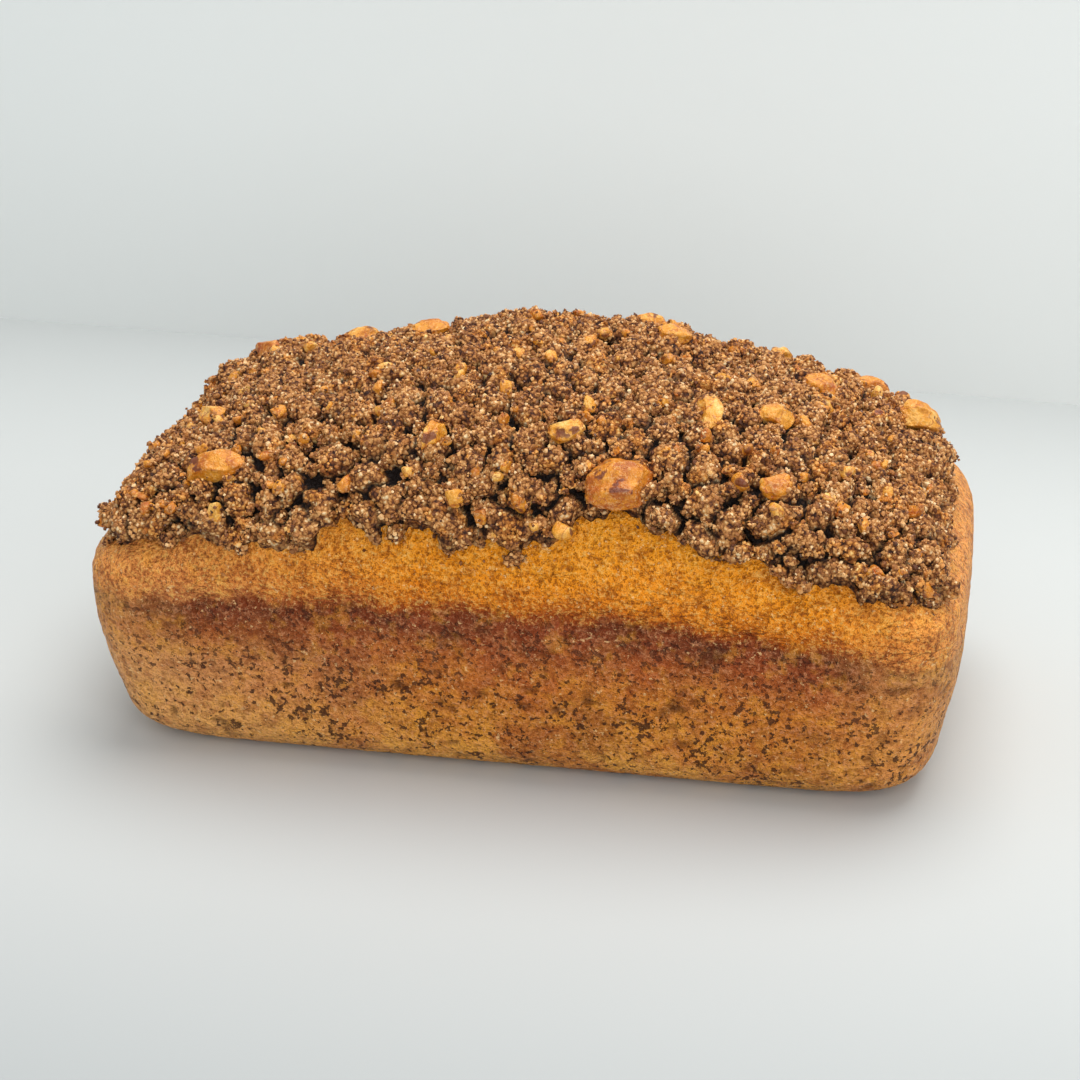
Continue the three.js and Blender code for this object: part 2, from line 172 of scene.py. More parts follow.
def dome_height(x, y):
    """Rim height plus an arch (1 - (1 - share)^p)^(1/q), lower towards the ends by 1 - f |x/a|^c. q falls
    off over the last two fifths of the way to the -X end, where the shoulder is rounder."""
    fullness = ARCH_FULLNESS - END_SLUMP * np.clip((-x / HALF_LENGTH - 0.6) / 0.4, 0, 1)
    arch = (1 - (1 - run_share(x, y)) ** ARCH_START) ** (1 / fullness)
    return RIM_HEIGHT + DOME_HEIGHT * arch * (1 - CROWN_FALL * np.abs(x / HALF_LENGTH) ** CROWN_POWER)


def unevenness(x, y, z):
    """Slow waves of baked crust, from -1 to 1: two products of sines in x, y and z."""
    return 0.5 * np.sin(x / 9.3 + 1.7 * np.sin(z / 8.1)) * np.cos(z / 6.7 + y / 17) + 0.5 * np.sin(
        x / 17.9 - z / 11.3 + 0.8
    ) * np.cos(y / 14.3 + 0.4)


def side_inset(draft, z):
    """How far a side leans in from the rim: draft (1 - z/rim)^bulge plus a quarter circle at the bottom."""
    round_inset = BASE_ROUND - np.sqrt(BASE_ROUND**2 - np.maximum(0, BASE_ROUND - z) ** 2)
    return draft * (1 - z / RIM_HEIGHT) ** SIDE_BULGE + round_inset


def crease_height(x):
    """Height of the crease by the rim, which droops in a straight line over the last part of each end."""
    droop = np.clip((x - 45) / 60, 0, 1) + 0.3 * np.clip((-x - 40) / 50, 0, 1)
    return RIM_HEIGHT - CREASE_BELOW_RIM - CREASE_DROOP * droop


def noise(points, cell, seed):
    """Smooth noise from -1 to 1: random values on a cubic lattice of side cell, blended by smoothsteps."""
    table = np.random.default_rng(seed).uniform(-1, 1, 4096)
    scaled = points / cell
    base = np.floor(scaled).astype(np.int64)
    part = scaled - base
    blend = part * part * (3 - 2 * part)
    total = np.zeros(points.shape[:-1])
    for corner in np.ndindex(2, 2, 2):
        lattice = base + np.array(corner)
        key = (lattice[..., 0] * 73856093) ^ (lattice[..., 1] * 19349663) ^ (lattice[..., 2] * 83492791)
        weight = np.prod(np.where(np.array(corner, bool), blend, 1 - blend), axis=-1)
        total += table[key % 4096] * weight
    return total


def topping_edge(x, y):
    """Share of the run where the topping's edge lies: a mean, a bell for each bay or tongue, a ripple."""
    front, back = [
        (lobes[:, 2] * np.exp(-(((np.asarray(x)[..., None] - lobes[:, 0]) / lobes[:, 1]) ** 2))).sum(-1)
        for lobes in (FRONT_LOBES, BACK_LOBES)
    ]
    on_long_side = np.clip((np.abs(y) - 25) / 15, 0, 1)
    on_end = EDGE_SHARE_AT_ENDS * (1 - on_long_side)
    ripple = EDGE_RIPPLE * np.sin(x / 3.1 + y / 4.7)
    return EDGE_SHARE + on_end + np.where(y < 0, front, back) * on_long_side + ripple


def topping_depth(x, y, edge_depth, full_depth):
    """Depth straight up from the dome: a quarter circle from edge to full depth, plus swells."""
    past = np.clip((run_share(x, y) - topping_edge(x, y)) / DEPTH_RAMP, 0, 1)
    along, across, reach, height = SWELLS.T
    away = np.hypot(np.asarray(x)[..., None] - along, np.asarray(y)[..., None] - across) / reach
    rise = (height * np.exp(-(away**2))).sum(-1)
    return edge_depth + (full_depth - edge_depth) * np.sqrt(1 - (1 - past) ** 2) + rise * past


def surface_normals(grid, closed_rows=False):
    """Unit normals of a grid of points: the cross product of its central differences along both ways."""
    along = np.roll(grid, -1, 1) - np.roll(grid, 1, 1) if closed_rows else np.gradient(grid, axis=1)
    across = np.gradient(grid, axis=0)
    normal = np.cross(along, across)
    return normal / np.maximum(np.linalg.norm(normal, axis=-1, keepdims=True), 1e-9)


def grid_faces(rows, columns, closed_rows=False):
    """Two triangles for each quad of a grid, round the seam too where rows are closed."""
    last = columns if closed_rows else columns - 1
    r, c = np.meshgrid(np.arange(rows - 1), np.arange(last), indexing="ij")
    a = r * columns + c
    b = r * columns + (c + 1) % columns
    quads = np.stack([a, b, b + columns, a + columns], -1).reshape(-1, 4)
    return np.concatenate([quads[:, [0, 1, 2]], quads[:, [0, 2, 3]]])


def strip_faces(start, count, flip):
    """Closes a ring by a strip between its front and back halves, which run between the two end points."""
    right = count // 4
    k = np.arange(count // 2)
    front = start + (right - k) % count
    next_front = start + (right - k - 1) % count
    back = start + (right + k) % count
    next_back = start + (right + k + 1) % count
    faces = np.concatenate([
        np.stack([front, back, next_front], -1)[1:],
        np.stack([next_front, back, next_back], -1)[:-1],
    ])
    return faces if flip else faces[:, [0, 2, 1]]


def make_piece(name, points, faces, material, attributes=None, smooth=True):
    """Mesh object from whole arrays of points in mm and triangles, riding on the cake."""
    mesh = bpy.data.meshes.new(name)
    mesh.vertices.add(len(points))
    mesh.vertices.foreach_set("co", (np.asarray(points) * MM).ravel())
    mesh.loops.add(faces.size)
    mesh.loops.foreach_set("vertex_index", faces.ravel().astype(np.int32))
    mesh.polygons.add(len(faces))
    mesh.polygons.foreach_set("loop_start", np.arange(0, faces.size, 3, dtype=np.int32))
    mesh.polygons.foreach_set("use_smooth", np.full(len(faces), smooth))
    for key, values in (attributes or {}).items():
        layer = mesh.attributes.new(key, "FLOAT", "POINT")
        layer.data.foreach_set("value", np.asarray(values, np.float32).ravel())
    mesh.materials.append(material)
    mesh.update(calc_edges=True)
    piece = bpy.data.objects.new(name, mesh)
    bpy.context.scene.collection.objects.link(piece)
    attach(piece, "root")
    return piece


def geodesic_ball(level):
    """Unit ball: an icosahedron whose faces are quartered level times, each new corner on the sphere."""
    g = (1 + 5**0.5) / 2
    corners = np.array([
        (-1, g, 0), (1, g, 0), (-1, -g, 0), (1, -g, 0), (0, -1, g), (0, 1, g),
        (0, -1, -g), (0, 1, -g), (g, 0, -1), (g, 0, 1), (-g, 0, -1), (-g, 0, 1),
    ])
    faces = np.array([
        (0, 11, 5), (0, 5, 1), (0, 1, 7), (0, 7, 10), (0, 10, 11), (1, 5, 9), (5, 11, 4),
        (11, 10, 2), (10, 7, 6), (7, 1, 8), (3, 9, 4), (3, 4, 2), (3, 2, 6), (3, 6, 8),
        (3, 8, 9), (4, 9, 5), (2, 4, 11), (6, 2, 10), (8, 6, 7), (9, 8, 1),
    ])
    unit = lambda v: v / np.linalg.norm(v, axis=-1, keepdims=True)
    triangles = unit(corners)[faces]
    for _ in range(level):
        a, b, c = triangles[:, 0], triangles[:, 1], triangles[:, 2]
        ab, bc, ca = unit(a + b), unit(b + c), unit(c + a)
        quarters = [(a, ab, ca), (ab, b, bc), (ca, bc, c), (ab, bc, ca)]
        triangles = np.concatenate([np.stack(q, 1) for q in quarters])
    points, index = np.unique(triangles.reshape(-1, 3).round(6), axis=0, return_inverse=True)
    return points, index.reshape(-1, 3)


def octahedron():
    """Six corners on the axes and eight faces."""
    points = np.array([(1, 0, 0), (-1, 0, 0), (0, 1, 0), (0, -1, 0), (0, 0, 1), (0, 0, -1)], float)
    faces = np.array([
        (0, 2, 4), (2, 1, 4), (1, 3, 4), (3, 0, 4), (2, 0, 5), (1, 2, 5), (3, 1, 5), (0, 3, 5),
    ])
    return points, faces


def random_turns(count, rng):
    """Rotation matrices from unit quaternions drawn evenly on the sphere."""
    w, x, y, z = (q := rng.normal(size=(count, 4))).T / np.linalg.norm(q, axis=1)
    return np.stack([
        1 - 2 * (y * y + z * z), 2 * (x * y - z * w), 2 * (x * z + y * w),
        2 * (x * y + z * w), 1 - 2 * (x * x + z * z), 2 * (y * z - x * w),
        2 * (x * z - y * w), 2 * (y * z + x * w), 1 - 2 * (x * x + y * y),
    ], -1).reshape(-1, 3, 3)


def scatter(shape, centres, scales, turns, corner_jitter, rng):
    """Copies of a shape: corners stretched by random shares, scaled, turned and set at each centre."""
    points, faces = shape
    jitter = 1 + corner_jitter * rng.uniform(-1, 1, (len(centres), len(points), 1))
    local = points[None] * jitter * scales[:, None, :]
    placed = np.einsum("nij,nmj->nmi", turns, local) + centres[:, None, :]
    index = faces[None] + (np.arange(len(centres)) * len(points))[:, None, None]
    return placed, index.reshape(-1, 3)


# Materials

def rgb(r, g, b):
    """Linear colour of an sRGB colour given from 0 to 255."""
    c = np.array([r, g, b]) / 255
    return (*np.where(c <= 0.04045, c / 12.92, ((c + 0.055) / 1.055) ** 2.4), 1.0)


def link(tree, socket, value):
    """Joins a socket to another one, or sets it to a plain value."""
    if isinstance(value, bpy.types.NodeSocket):
        tree.links.new(value, socket)
    else:
        socket.default_value = value


def math_node(tree, operation, a, b=0.0, clamp=False):
    node = tree.nodes.new("ShaderNodeMath")
    node.operation = operation
    node.use_clamp = clamp
    link(tree, node.inputs[0], a)
    link(tree, node.inputs[1], b)
    return node.outputs[0]


def plus(tree, a, b, clamp=False):
    return math_node(tree, "ADD", a, b, clamp)


def minus(tree, a, b):
    return math_node(tree, "SUBTRACT", a, b)


def times(tree, a, b):
    return math_node(tree, "MULTIPLY", a, b)


def map_range(tree, value, low, high, to_low=0.0, to_high=1.0):
    """A smooth step from to_low to to_high as the value goes from low to high."""
    node = tree.nodes.new("ShaderNodeMapRange")
    node.interpolation_type = "SMOOTHSTEP"
    for socket, v in zip(node.inputs, (value, low, high, to_low, to_high)):
        link(tree, socket, v)
    return node.outputs[0]


def mix(tree, factor, a, b, blend="MIX"):
    node = tree.nodes.new("ShaderNodeMix")
    node.data_type = "RGBA"
    node.blend_type = blend
    link(tree, node.inputs["Factor"], factor)
    link(tree, node.inputs[6], a)
    link(tree, node.inputs[7], b)
    return node.outputs[2]


def ramp(tree, value, stops):
    node = tree.nodes.new("ShaderNodeValToRGB")
    elements = node.color_ramp.elements
    elements[0].position, elements[0].color = stops[0]
    elements[1].position, elements[1].color = stops[-1]
    for position, colour in stops[1:-1]:
        elements.new(position).color = colour
    link(tree, node.inputs[0], value)
    return node.outputs[0]


def noise_node(tree, vector, scale, detail=2.0, roughness=0.5):
    node = tree.nodes.new("ShaderNodeTexNoise")
    node.inputs["Scale"].default_value = scale
    node.inputs["Detail"].default_value = detail
    node.inputs["Roughness"].default_value = roughness
    link(tree, node.inputs["Vector"], vector)
    return node.outputs[0]


def attribute(tree, name):
    """A number that the mesh carries at each of its points."""
    node = tree.nodes.new("ShaderNodeAttribute")
    node.attribute_name = name
    return node.outputs["Fac"]


def new_material(name, roughness, specular=0.4):
    """Material with a plain Principled shader, its node tree and its object coordinates."""
    material = bpy.data.materials.new(name)
    material.use_nodes = True
    tree = material.node_tree
    shader = tree.nodes["Principled BSDF"]
    shader.inputs["Roughness"].default_value = roughness
    shader.inputs["Specular IOR Level"].default_value = specular
    coordinates = tree.nodes.new("ShaderNodeTexCoord").outputs["Object"]
    return material, tree, shader, coordinates


def bump(tree, shader, height, distance, strength):
    node = tree.nodes.new("ShaderNodeBump")
    node.inputs["Distance"].default_value = distance
    node.inputs["Strength"].default_value = strength
    link(tree, node.inputs["Height"], height)
    tree.links.new(node.outputs[0], shader.inputs["Normal"])


def grain_with_painted_light_group():
    """Fine grain of baked crumb: a colour, darker in the hollows by painted shade and lighter on the tops
    by painted highlights, and a height.
    Height = 0.6 noise at the grain's scale + 0.4 noise at 2.7 times that scale."""
    group = bpy.data.node_groups.new("grain_with_painted_light", "ShaderNodeTree")
    face = group.interface
    face.new_socket("Vector", in_out="INPUT", socket_type="NodeSocketVector")
    for name, value in (("Scale", 900.0), ("Contrast", 0.5)):
        face.new_socket(name, in_out="INPUT", socket_type="NodeSocketFloat").default_value = value
    for name in ("Base", "PaintedShade", "Top"):
        face.new_socket(name, in_out="INPUT", socket_type="NodeSocketColor")
    face.new_socket("Color", in_out="OUTPUT", socket_type="NodeSocketColor")
    face.new_socket("Height", in_out="OUTPUT", socket_type="NodeSocketFloat")
    given = group.nodes.new("NodeGroupInput").outputs
    result = group.nodes.new("NodeGroupOutput").inputs
    coarse = noise_node(group, given["Vector"], 1.0, 1.0)
    link(group, coarse.node.inputs["Scale"], given["Scale"])
    fine = noise_node(group, given["Vector"], 1.0, 1.0)
    link(group, fine.node.inputs["Scale"], times(group, given["Scale"], 2.7))
    height = plus(group, times(group, coarse, 0.6), times(group, fine, 0.4))
    # Painted shade where the grain is low and painted highlight where it is high
    low = map_range(group, height, 0.36, 0.5, 1.0, 0.0)
    high = map_range(group, height, 0.5, 0.66)
    dark = mix(group, times(group, low, given["Contrast"]), given["Base"], given["PaintedShade"])
    light = mix(group, times(group, high, given["Contrast"]), dark, given["Top"])
    link(group, result["Color"], light)
    link(group, result["Height"], height)
    return group


GRAIN_WITH_PAINTED_LIGHT = grain_with_painted_light_group()


def grain_with_painted_light(tree, vector, scale, contrast, base, painted_hollow_shade, painted_top_highlight):
    node = tree.nodes.new("ShaderNodeGroup")
    node.node_tree = GRAIN_WITH_PAINTED_LIGHT
    names = ("Vector", "Scale", "Contrast", "Base", "PaintedShade", "Top")
    for name, value in zip(names, (vector, scale, contrast, base, painted_hollow_shade, painted_top_highlight)):
        link(tree, node.inputs[name], value)
    return node.outputs["Color"], node.outputs["Height"]


# Height over the crease in mm, and the crust's colour there
CRUST_LOWEST = -46.0
CRUST_HIGHEST = 20.0
CRUST_COLOURS = [
    (-46, rgb(244, 178, 80)),
    (-34, rgb(225, 147, 50)),
    (-20, rgb(212, 125, 39)),
    (-11, rgb(180, 97, 35)),
    (-5, rgb(130, 63, 27)),
    (-1.5, rgb(106, 46, 15)),
    (0.6, rgb(176, 80, 12)),
    (3, rgb(230, 124, 6)),
    (8, rgb(252, 148, 8)),
    (20, rgb(252, 158, 22)),
]


def ragged_spots(tree, vector, scale, low, high):
    """Ragged spots of many sizes: where a rough noise stands above a threshold."""
    return map_range(tree, noise_node(tree, vector, scale, 3, 0.62), low, high)


def crust_material():
    """Baked crust: a colour by height over the crease, mottled, with three sizes of grain whose hollows
    carry painted shade and whose tops carry painted highlights, ragged dark pores below the crease painted
    as shade in their holes, thin torn lines along it and pale specks."""
    material, tree, shader, coordinates = new_material("baked_crust", 0.5, 0.2)
    over = attribute(tree, "over_crease")
    sway = times(tree, minus(tree, noise_node(tree, coordinates, 90, 3), 0.5), 9.0)
    frayed = times(tree, minus(tree, noise_node(tree, coordinates, 620, 2), 0.5), 4.0)
    level = plus(tree, over, plus(tree, sway, frayed))
    span = CRUST_HIGHEST - CRUST_LOWEST
    place = math_node(tree, "DIVIDE", minus(tree, level, CRUST_LOWEST), span)
    base = ramp(tree, place, [((height - CRUST_LOWEST) / span, colour) for height, colour in CRUST_COLOURS])
    below = map_range(tree, level, -2, 1, 1.0, 0.0)
    above = minus(tree, 1.0, below)

    # Rusty patches and brown stains below the crease
    patches = times(tree, ragged_spots(tree, coordinates, 60.0, 0.47, 0.62), below)
    base = mix(tree, times(tree, patches, 0.45), base, rgb(182, 78, 30))
    stains = times(tree, ragged_spots(tree, coordinates, 38.0, 0.5, 0.64), below)
    base = mix(tree, times(tree, stains, 0.35), base, rgb(112, 58, 22))

    # Duller towards the left, rosier at both ends and paler low on the left
    dull = times(tree, attribute(tree, "left_part"), above)
    base = mix(tree, times(tree, dull, 0.6), base, rgb(214, 138, 84))
    rosy = attribute(tree, "rosy")
    base = mix(tree, times(tree, rosy, above), base, rgb(248, 160, 80))
    base = mix(tree, times(tree, times(tree, rosy, below), 0.7), base, rgb(255, 184, 98))
    pale = times(tree, attribute(tree, "left_part"), map_range(tree, level, -20, -8, 0.45, 0.0))
    base = mix(tree, pale, base, rgb(250, 192, 124))

    # Grain of three sizes, the coarsest first, each with painted shade in its hollows and painted
    # highlights on its tops
    painted_hollow_shade = mix(tree, 0.5, base, rgb(140, 56, 6))
    painted_top_highlight = mix(tree, 0.35, base, rgb(255, 178, 50))
    colour = grain_with_painted_light(tree, coordinates, 170.0, 0.8, base, painted_hollow_shade, painted_top_highlight)[0]
    painted_hollow_shade = mix(tree, 0.6, colour, rgb(112, 40, 2))
    painted_top_highlight = mix(tree, 0.35, colour, mix(tree, below, rgb(255, 186, 92), rgb(232, 148, 92)))
    colour, medium = grain_with_painted_light(tree, coordinates, 430.0, 0.65, colour, painted_hollow_shade, painted_top_highlight)
    painted_hollow_shade = mix(tree, 0.6, colour, rgb(112, 42, 2))
    painted_top_highlight = mix(tree, 0.5, colour, mix(tree, below, rgb(255, 202, 110), rgb(244, 172, 124)))
    contrast = minus(tree, 1.0, times(tree, below, 0.35))
    colour, height = grain_with_painted_light(tree, coordinates, 1050.0, contrast, colour, painted_hollow_shade, painted_top_highlight)

    # Dark pores and pits below the crease, their dark colour painted shade in the holes, and pale specks
    # between them
    crowd = times(tree, minus(tree, noise_node(tree, coordinates, 90, 2), 0.5), 0.3)
    crowded = minus(tree, 0.588, crowd)
    small = ragged_spots(tree, coordinates, 620.0, crowded, plus(tree, crowded, 0.05))
    pore = math_node(tree, "MAXIMUM", small, attribute(tree, "pit"))
    pore_share = map_range(tree, level, -24, -2, 1.0, 0.6)
    pore = times(tree, pore, times(tree, pore_share, below))
    colour = mix(tree, times(tree, pore, 0.85), colour, rgb(58, 24, 10))
    speck = times(tree, ragged_spots(tree, coordinates, 760.0, 0.63, 0.69), minus(tree, 1.0, pore))
    colour = mix(tree, times(tree, speck, 0.65), colour, rgb(250, 204, 142))

    # Thin torn lines along the crease
    stretch = tree.nodes.new("ShaderNodeVectorMath")
    stretch.operation = "MULTIPLY"
    stretch.inputs[1].default_value = (1, 1, 4)
    tree.links.new(coordinates, stretch.inputs[0])
    away = math_node(tree, "ABSOLUTE", minus(tree, noise_node(tree, stretch.outputs[0], 95, 4), 0.5))
    torn = times(tree, map_range(tree, away, 0.004, 0.016, 1.0, 0.0), attribute(tree, "crack"))
    colour = mix(tree, times(tree, torn, 0.55), colour, rgb(128, 46, 10))

    tree.links.new(colour, shader.inputs["Base Color"])
    relief = plus(tree, height, times(tree, medium, 1.4))
    relief = minus(tree, relief, times(tree, pore, 0.9))
    relief = minus(tree, relief, times(tree, torn, 0.6))
    bump(tree, shader, relief, 0.0014, 1.0)
    return material


def sugar_cells_group():
    """Glued sugar grains: round cells with painted highlights on their middles and painted shade in their
    seams. Height = 1 - distance from a cell's middle.
    ToneAndPaintedLight = 0.75 (the cell's random number - 0.5) + 0.9 (height - 0.55): each grain's own tone
    plus the painted light."""
    group = bpy.data.node_groups.new("sugar_cells", "ShaderNodeTree")
    face = group.interface
    face.new_socket("Vector", in_out="INPUT", socket_type="NodeSocketVector")
    face.new_socket("Scale", in_out="INPUT", socket_type="NodeSocketFloat").default_value = 900.0
    face.new_socket("ToneAndPaintedLight", in_out="OUTPUT", socket_type="NodeSocketFloat")
    face.new_socket("Height", in_out="OUTPUT", socket_type="NodeSocketFloat")
    given = group.nodes.new("NodeGroupInput").outputs
    result = group.nodes.new("NodeGroupOutput").inputs
    bend = group.nodes.new("ShaderNodeTexNoise")
    bend.inputs["Scale"].default_value = 1100
    link(group, bend.inputs["Vector"], given["Vector"])
    bent = group.nodes.new("ShaderNodeVectorMath")
    bent.operation = "MULTIPLY_ADD"
    bent.inputs[1].default_value = (0.001, 0.001, 0.001)
    link(group, bent.inputs[0], bend.outputs["Color"])
    link(group, bent.inputs[2], given["Vector"])
    cells = group.nodes.new("ShaderNodeTexVoronoi")
    link(group, cells.inputs["Vector"], bent.outputs[0])
    link(group, cells.inputs["Scale"], given["Scale"])
    height = minus(group, 1.0, cells.outputs["Distance"])
    own = times(group, minus(group, cells.outputs["Color"], 0.5), 0.75)
    # Painted shade in the seams and painted highlight on the middles of the cells
    depth = times(group, minus(group, height, 0.55), 0.9)
    link(group, result["ToneAndPaintedLight"], plus(group, own, depth))
    link(group, result["Height"], height)
    return group


SUGAR_CELLS = sugar_cells_group()

CRUMB_COLOURS = [
    (0.0, rgb(46, 18, 8)),
    (0.26, rgb(114, 64, 30)),
    (0.5, rgb(180, 119, 62)),
    (0.76, rgb(222, 166, 102)),
    (1.0, rgb(248, 220, 172)),
]
# Painted shade for the topping's gaps and hollows, mixed in by 1 - lit
CRUMB_GAP_SHADE = rgb(20, 7, 3)


def crumb_colour(tree, coordinates, tone):
    """Cinnamon sugar brown by tone, golden where a nut lies under it, and painted shade, the gap colour,
    where a point is little lit.
    """
    colour = ramp(tree, tone, CRUMB_COLOURS)
    golden = ragged_spots(tree, coordinates, 150.0, 0.55, 0.62)
    toasted = mix(tree, 1.0, colour, (1.08, 0.94, 0.6, 1), "MULTIPLY")
    colour = mix(tree, golden, colour, toasted)
    return mix(tree, minus(tree, 1.0, attribute(tree, "lit")), colour, CRUMB_GAP_SHADE)


def crumb_material():
    """Clumped topping: every point has its own glued grain's tone with painted light over it, and painted
    shade where it is little lit.
    """
    material, tree, shader, coordinates = new_material("cinnamon_crumb", 0.7, 0.3)
    cells = tree.nodes.new("ShaderNodeGroup")
    cells.node_tree = SUGAR_CELLS
    link(tree, cells.inputs["Vector"], coordinates)
    link(tree, cells.inputs["Scale"], 880.0)
    tone = plus(tree, attribute(tree, "tone"), cells.outputs["ToneAndPaintedLight"], clamp=True)
    tree.links.new(crumb_colour(tree, coordinates, tone), shader.inputs["Base Color"])
    bump(tree, shader, cells.outputs["Height"], 0.0009, 0.9)
    return material


def grain_material(name, roughness):
    """Single grains: each has one tone, with a little noise over it."""
    material, tree, shader, coordinates = new_material(name, roughness, 0.4)
    fine = noise_node(tree, coordinates, 1500, 2)
    flicker = times(tree, minus(tree, fine, 0.5), 0.4)
    tone = plus(tree, attribute(tree, "tone"), flicker, clamp=True)
    tree.links.new(crumb_colour(tree, coordinates, tone), shader.inputs["Base Color"])
    return material


def nut_material():
    """Toasted pecan: golden flesh with thin orange cracks, brown papery skin in patches and fine grain with
    painted shade in its hollows and painted highlights on its tops.
    """
    material, tree, shader, coordinates = new_material("toasted_pecan", 0.42, 0.5)
    broad = times(tree, noise_node(tree, coordinates, 260, 3), 0.8)
    own = times(tree, attribute(tree, "tone"), 0.24)
    flesh = ramp(tree, plus(tree, broad, own), [
        (0.3, rgb(180, 92, 14)),
        (0.45, rgb(218, 134, 24)),
        (0.6, rgb(234, 160, 48)),
        (0.8, rgb(248, 206, 120)),
    ])
    away = math_node(tree, "ABSOLUTE", minus(tree, noise_node(tree, coordinates, 180, 3), 0.5))
    flesh = mix(tree, map_range(tree, away, 0.004, 0.02, 0.7, 0.0), flesh, rgb(170, 74, 14))
    # Painted shade for the grain's hollows and painted highlight for its tops
    painted_hollow_shade = mix(tree, 0.45, flesh, rgb(120, 56, 12))
    painted_top_highlight = mix(tree, 0.45, flesh, rgb(255, 222, 160))
    flesh, height = grain_with_painted_light(tree, coordinates, 1100.0, 0.6, flesh, painted_hollow_shade, painted_top_highlight)
    skin = times(tree, attribute(tree, "skin"), ragged_spots(tree, coordinates, 150.0, 0.56, 0.6))
    colour = mix(tree, times(tree, skin, 0.9), flesh, rgb(110, 48, 24))
    tree.links.new(colour, shader.inputs["Base Color"])
    bump(tree, shader, height, 0.0006, 0.9)
    return material


# Cake

AROUND = 480
DOME_START = 0.32


def loaf_rows():
    """Rings of the crust from the flat bottom up: the round edge, the drafted side, then the dome."""
    turns = np.arange(AROUND) * 4 / AROUND
    fillet = BASE_ROUND * (1 - np.cos(np.linspace(0, np.pi / 2, 16)))
    heights = np.concatenate([fillet, np.linspace(BASE_ROUND, RIM_HEIGHT, 64)[1:]])
    rows = []
    for z in heights:
        half_length = HALF_LENGTH - side_inset(END_DRAFT, z)
        half_width = HALF_WIDTH - side_inset(SIDE_DRAFT, z)
        x, y = outline(half_length, half_width, turns)
        rows.append(np.stack([x, y, np.full(AROUND, z)], -1))
    lower_dome = DOME_START * np.linspace(0, 1, 72)[1:] ** 1.25
    shares = np.concatenate([lower_dome, np.linspace(DOME_START, 0.99, 44)[1:]])
    for share in shares:
        x, y = outline(HALF_LENGTH - END_RUN * share, HALF_WIDTH - SIDE_RUN * share, turns)
        rows.append(np.stack([x, y, dome_height(x, y)], -1))
    return np.stack(rows)


def build_loaf(material):
    """The cake: smooth rings pushed in or out by slow waves, the crease, pits, lumps, fine grain and a
    swell of the ends, 1.5 clip((|x| - 70) / 28) exp(-((z - 37) / 17)^2) mm."""
    rows = loaf_rows()
    x, y, z = rows[..., 0], rows[..., 1], rows[..., 2]
    normals = surface_normals(rows, closed_rows=True)
    over = z - crease_height(x)
    wander = 0.8 * noise(rows, 9, 1)
    fading = 1 - np.clip((np.abs(x) - 75) / 25, 0, 1)
    crease = CREASE_DEPTH * fading * np.exp(-(((over + wander) / CREASE_HALF_HEIGHT) ** 2))
    crease *= 1 + 0.5 * noise(rows, 12, 2)
    near_crease = np.exp(-(((over - 1.8) / 2.6) ** 2)) + 0.3 * np.exp(-(((over - 9) / 5) ** 2))
    crack = np.clip(near_crease * np.clip(0.5 + 2.4 * noise(rows, 12, 5), 0, 1), 0, 1)
    fine = 0.1 * noise(rows, 2.1, 6) + 0.12 * noise(rows, 1.1, 7)
    pit = np.clip(1.9 * noise(rows, 2.6, 8) + 0.5 * noise(rows, 14, 9) - 0.95, 0, 1)
    pit *= np.clip(-over / 3, 0, 1)
    lumps = 0.22 * noise(rows, 4.6, 3) * (over > -6)
    relief = CRUST_RELIEF * unevenness(x, y, z) * np.clip(z / 8, 0, 1) - crease - 0.6 * pit + lumps + fine
    relief += END_SWELL * np.clip((np.abs(x) - 70) / 28, 0, 1) * np.exp(-(((z - 37) / 17) ** 2))
    rows = rows + normals * (relief * np.clip(z / 3, 0, 1))[..., None]
    rosy = np.clip((np.abs(x) - 72) / 34, 0, 1) ** 1.5
    left_part = np.clip((-x - 20) / 60, 0, 1)
    faces = np.concatenate([
        grid_faces(len(rows), AROUND, closed_rows=True),
        strip_faces(0, AROUND, False),
        strip_faces((len(rows) - 1) * AROUND, AROUND, True),
    ])
    marks = {"over_crease": over, "crack": crack, "pit": pit, "rosy": rosy, "left_part": left_part}
    piece = make_piece("loaf_crust", rows.reshape(-1, 3), faces, material, marks)
    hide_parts("loaf")


# Topping

COLUMNS = 430
ROWS = 226
CLUMP_TRIES = 9000
LOOSE_CLUMPS = 560
LOOSE_BITS = 270
FALLEN_TRIES = 14000


def edge_reach(x, y):
    """How far out from the middle, as a share of the way to (x, y), the topping's edge lies: by halving."""
    flat = np.stack([x, y, 0 * x], -1)
    ragged = EDGE_RAGGED * (noise(flat, 4.5, 21) + 0.6 * noise(flat, 2, 22))
    inside = np.full(np.shape(x), 0.5)
    outside = np.ones(np.shape(x))
    for _ in range(20):
        middle = (inside + outside) / 2
        within = run_share(x * middle, y * middle) > topping_edge(x * middle, y * middle) + ragged
        inside = np.where(within, middle, inside)
        outside = np.where(within, outside, middle)
    return inside


def clump_place(u, v):
    """Plan point of the topping's grid at u along and v across, -1 to 1. Rows crowd where the dome is
    steep, by w + (sin(w pi/2) - w) amount, and the rim is drawn in to the edge by ring^1.5."""
    crowd = lambda w, amount: w + (np.sin(w * np.pi / 2) - w) * amount
    ring = np.maximum(np.maximum(np.abs(u), np.abs(v)), 1e-6)
    rim_x, rim_y = HALF_LENGTH * crowd(u / ring, 0.2), HALF_WIDTH * crowd(v / ring, 0.5)
    reach = 1 + (edge_reach(rim_x, rim_y) - 1) * ring**1.5
    return HALF_LENGTH * crowd(u, 0.2) * reach, HALF_WIDTH * crowd(v, 0.5) * reach


